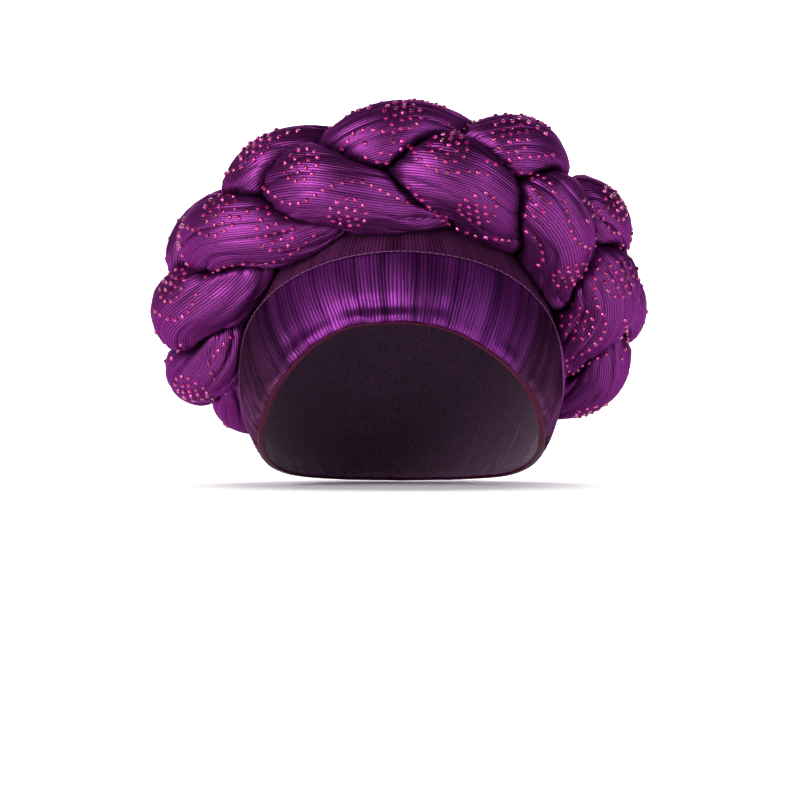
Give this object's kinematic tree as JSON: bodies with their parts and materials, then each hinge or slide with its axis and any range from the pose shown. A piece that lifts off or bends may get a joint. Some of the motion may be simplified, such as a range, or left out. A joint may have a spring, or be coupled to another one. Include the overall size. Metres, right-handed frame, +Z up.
{
  "type": "braided gele head tie",
  "caption": "Head tie of pleated purple metallic cloth: a fitted cap with a crescent brow band and a padded plait sewn on as a halo, dotted with red stones.",
  "frame": {"origin": "in the middle of the wearer's head, level with the front of the brow band's lower edge", "axes": "+Z up, the face looks along -Y, +X is the wearer's left"},
  "size_m": [0.2535, 0.2042, 0.1924],
  "materials": {
    "cap_cloth": "crinkle-pleated metallic cloth, deep purple, fine upright pleats",
    "band_cloth": "crinkle-pleated metallic cloth, violet sheen over the brow, duller at the sides",
    "binding_cloth": "rolled matt maroon edge",
    "braid_cloth": "crinkle-pleated metallic cloth over soft padding, violet highlights",
    "stone": "small faceted crimson heat-set stones"
  },
  "bodies": {
    "root": {"crown_cap": "cap_cloth", "brow_band": "band_cloth", "edge_binding": "binding_cloth", "braid_strand_a": "braid_cloth", "braid_strand_b": "braid_cloth", "braid_strand_c": "braid_cloth"}
  },
  "joints": []
}
